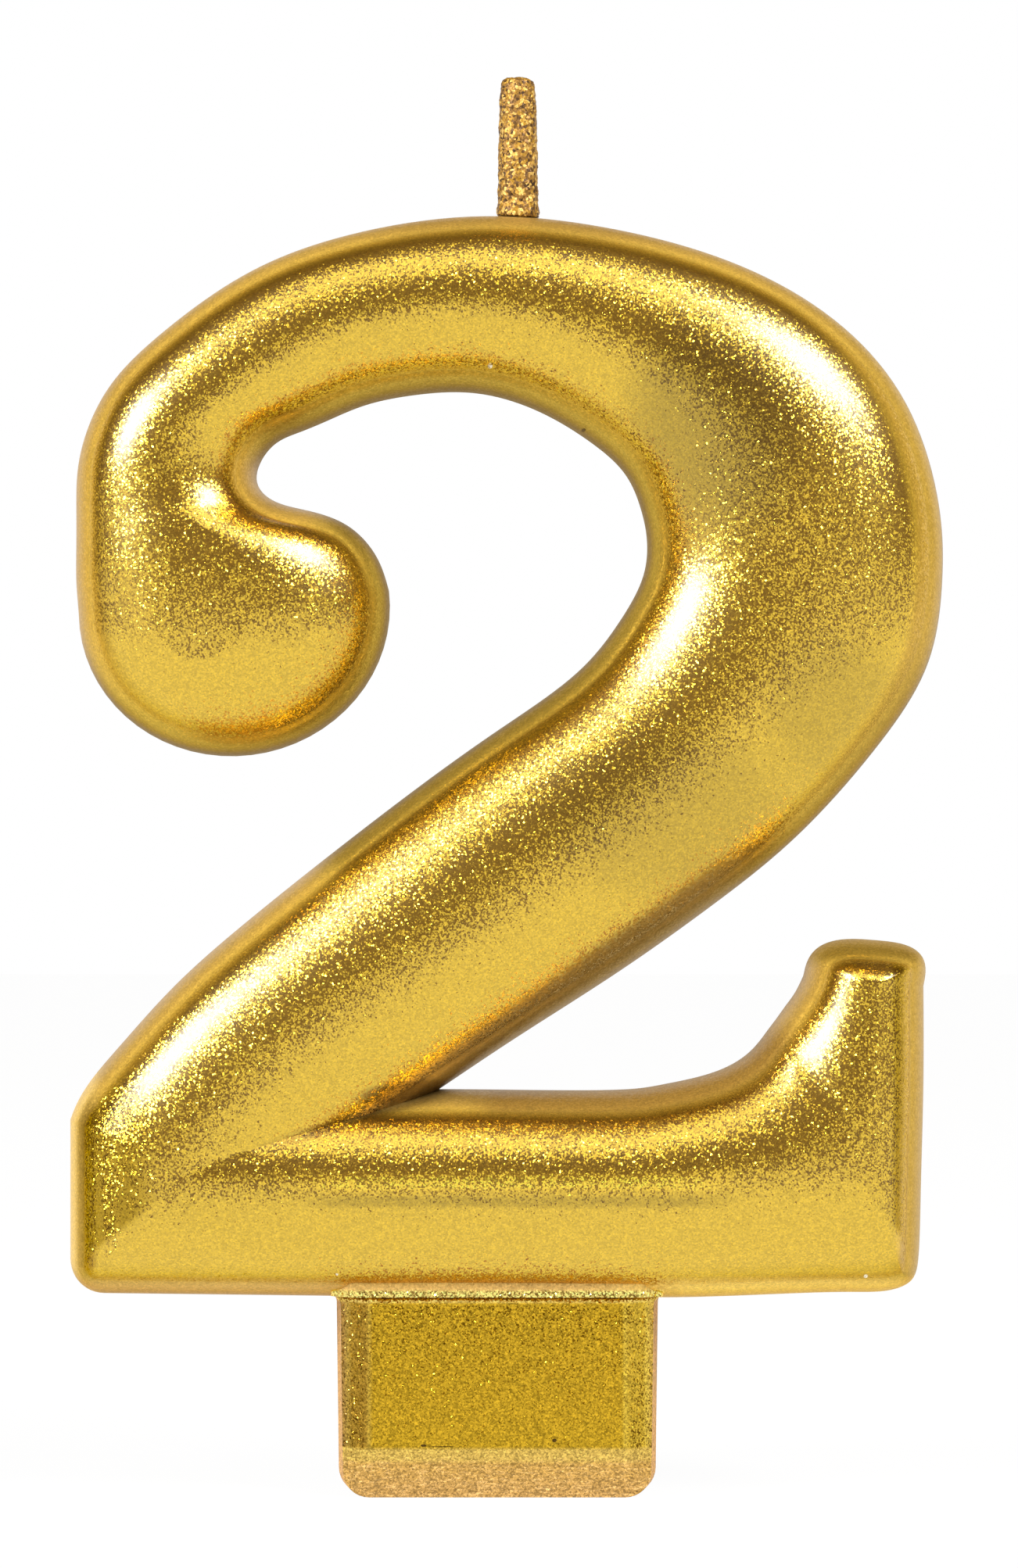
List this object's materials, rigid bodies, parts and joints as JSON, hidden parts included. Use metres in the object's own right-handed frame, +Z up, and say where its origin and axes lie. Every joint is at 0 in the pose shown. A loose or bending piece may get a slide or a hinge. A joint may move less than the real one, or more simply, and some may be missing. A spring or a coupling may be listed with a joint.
{
  "type": "number candle",
  "caption": "Birthday candle cast as a domed numeral 2 with a ball-ended hook, a flat foot with an upturned serif, a tab for the cake and a short gold-dipped wick, in metallic gold.",
  "frame": {"origin": "middle of the bounding box on the plane that the tab stands on", "axes": "+Z up the candle towards the wick, -Y out of the front from which the numeral reads, +X to the reader's right"},
  "size_m": [0.0507, 0.0136, 0.0821],
  "materials": {
    "wax": "satin candle wax",
    "gold_lacquer": "metallic gold lacquer with fine sparkle",
    "wick_cotton": "waxed cotton",
    "wick_gold": "granular gold dip"
  },
  "bodies": {
    "root": {"wax_body": "wax", "gold_skin": "gold_lacquer", "cotton_wick": "wick_cotton", "wick_cap": "wick_gold"}
  },
  "joints": []
}
